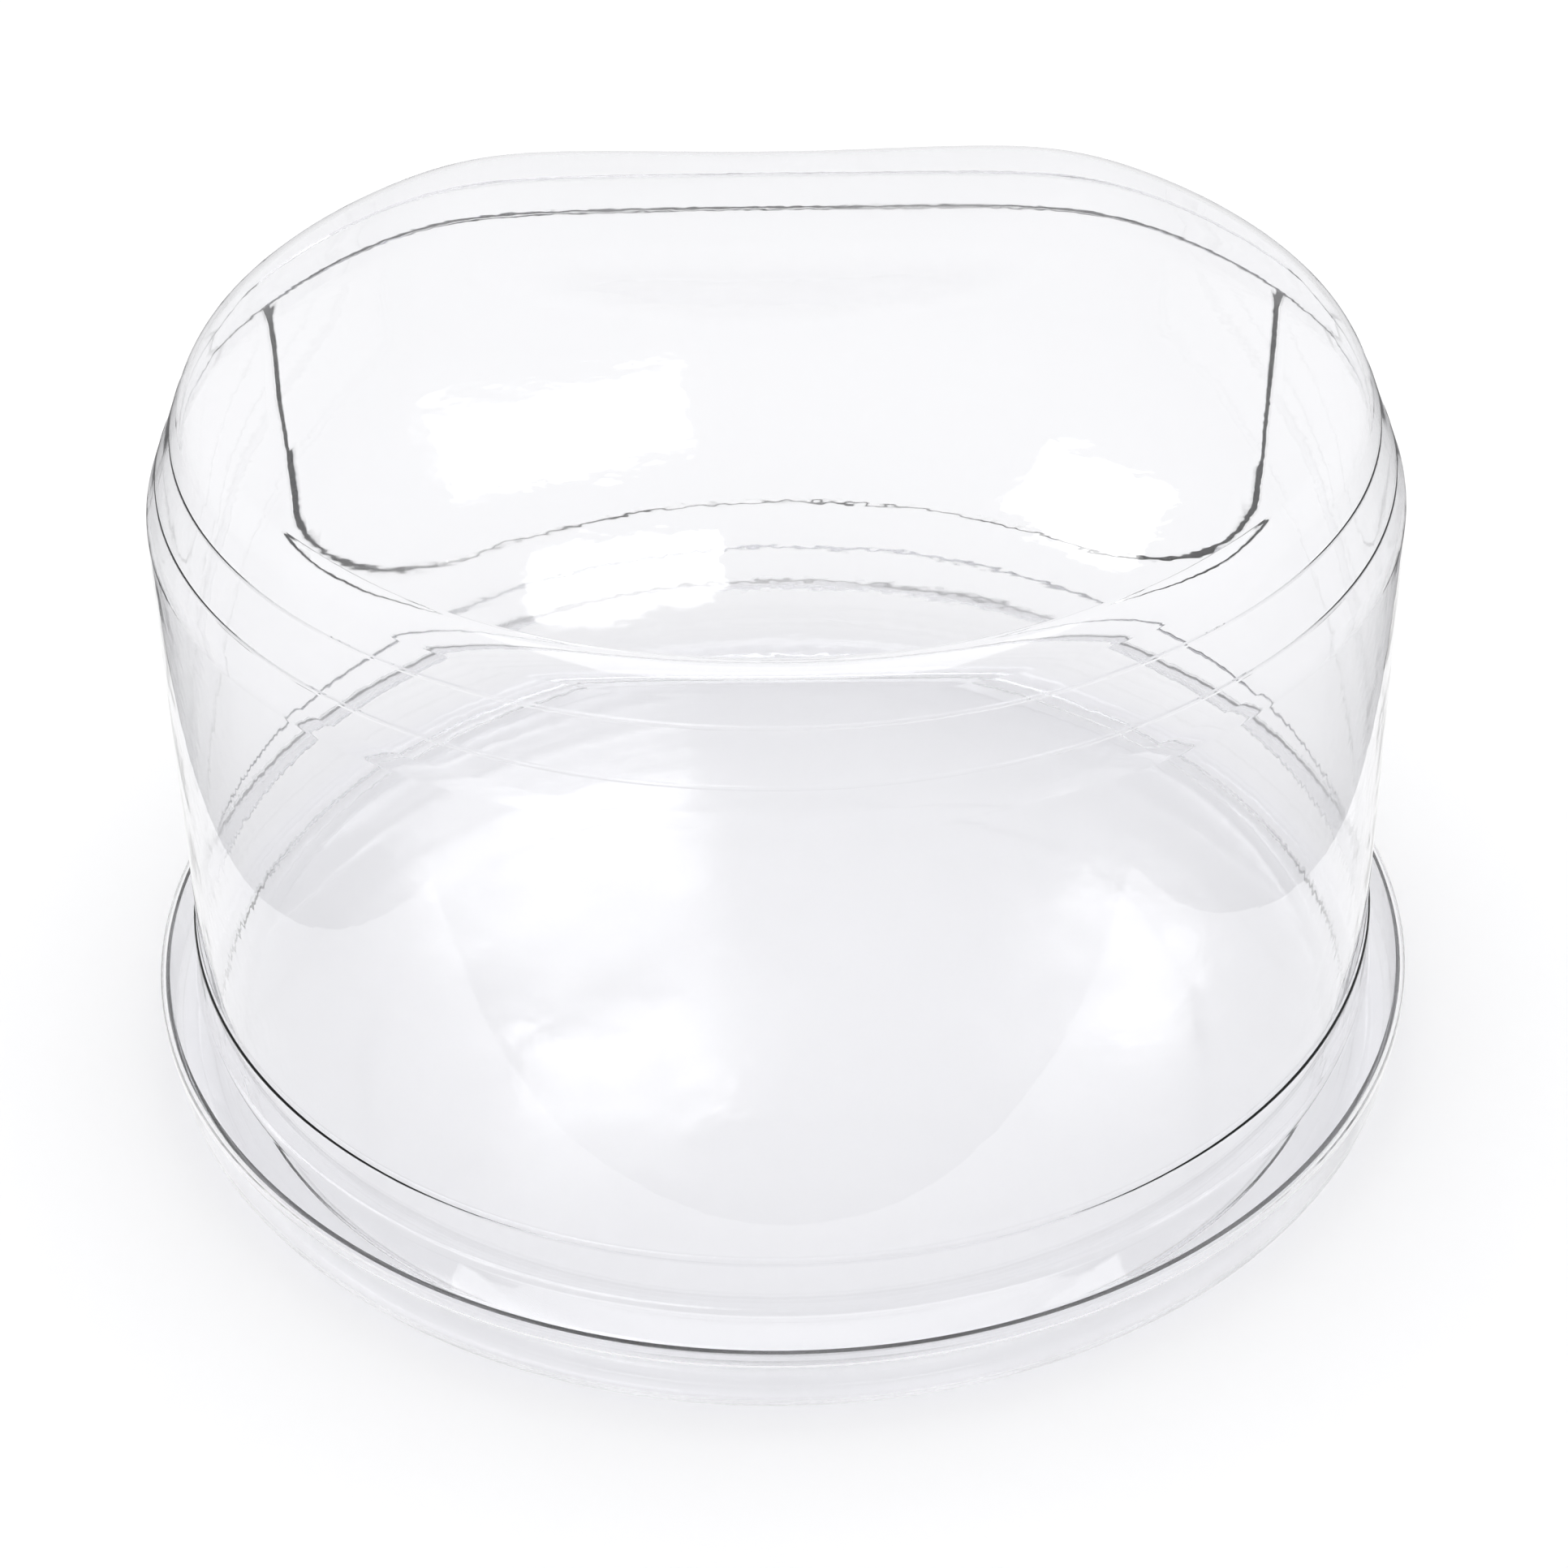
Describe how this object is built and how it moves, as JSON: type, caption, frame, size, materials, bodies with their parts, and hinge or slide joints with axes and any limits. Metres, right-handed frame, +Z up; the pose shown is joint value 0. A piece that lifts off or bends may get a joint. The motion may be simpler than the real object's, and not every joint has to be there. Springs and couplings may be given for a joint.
{
  "type": "humidity dome tray",
  "caption": "Round clear plant tray with a tall clear dome that lifts off; a broad access flap in the dome's rear wall folds out and up about its straight top edge.",
  "frame": {"origin": "centre of the tray's underside, on the surface that the tray stands on", "axes": "+Z up through the dome's centre; +Y towards the side with the access flap; X along the flap's fold"},
  "size_m": [0.3, 0.3, 0.176],
  "materials": {
    "clear_tray": "glossy clear formed plastic sheet, water white",
    "clear_dome": "glossy clear formed plastic sheet, water white",
    "clear_flap": "glossy clear formed plastic sheet, water white"
  },
  "bodies": {
    "base": {"tray": "clear_tray"},
    "hood": {"dome": "clear_dome"},
    "flap": {"access_flap": "clear_flap"}
  },
  "joints": [
    {"name": "dome_lift", "type": "slide", "parent": "base", "child": "hood", "axis": [0, 0, 1], "range_m": [0, 0.2]},
    {"name": "flap_hinge", "type": "hinge", "parent": "hood", "child": "flap", "pos_m": [0, 0.11061, 0.1521], "axis": [1, 0, 0], "range_deg": [0, 90]}
  ]
}
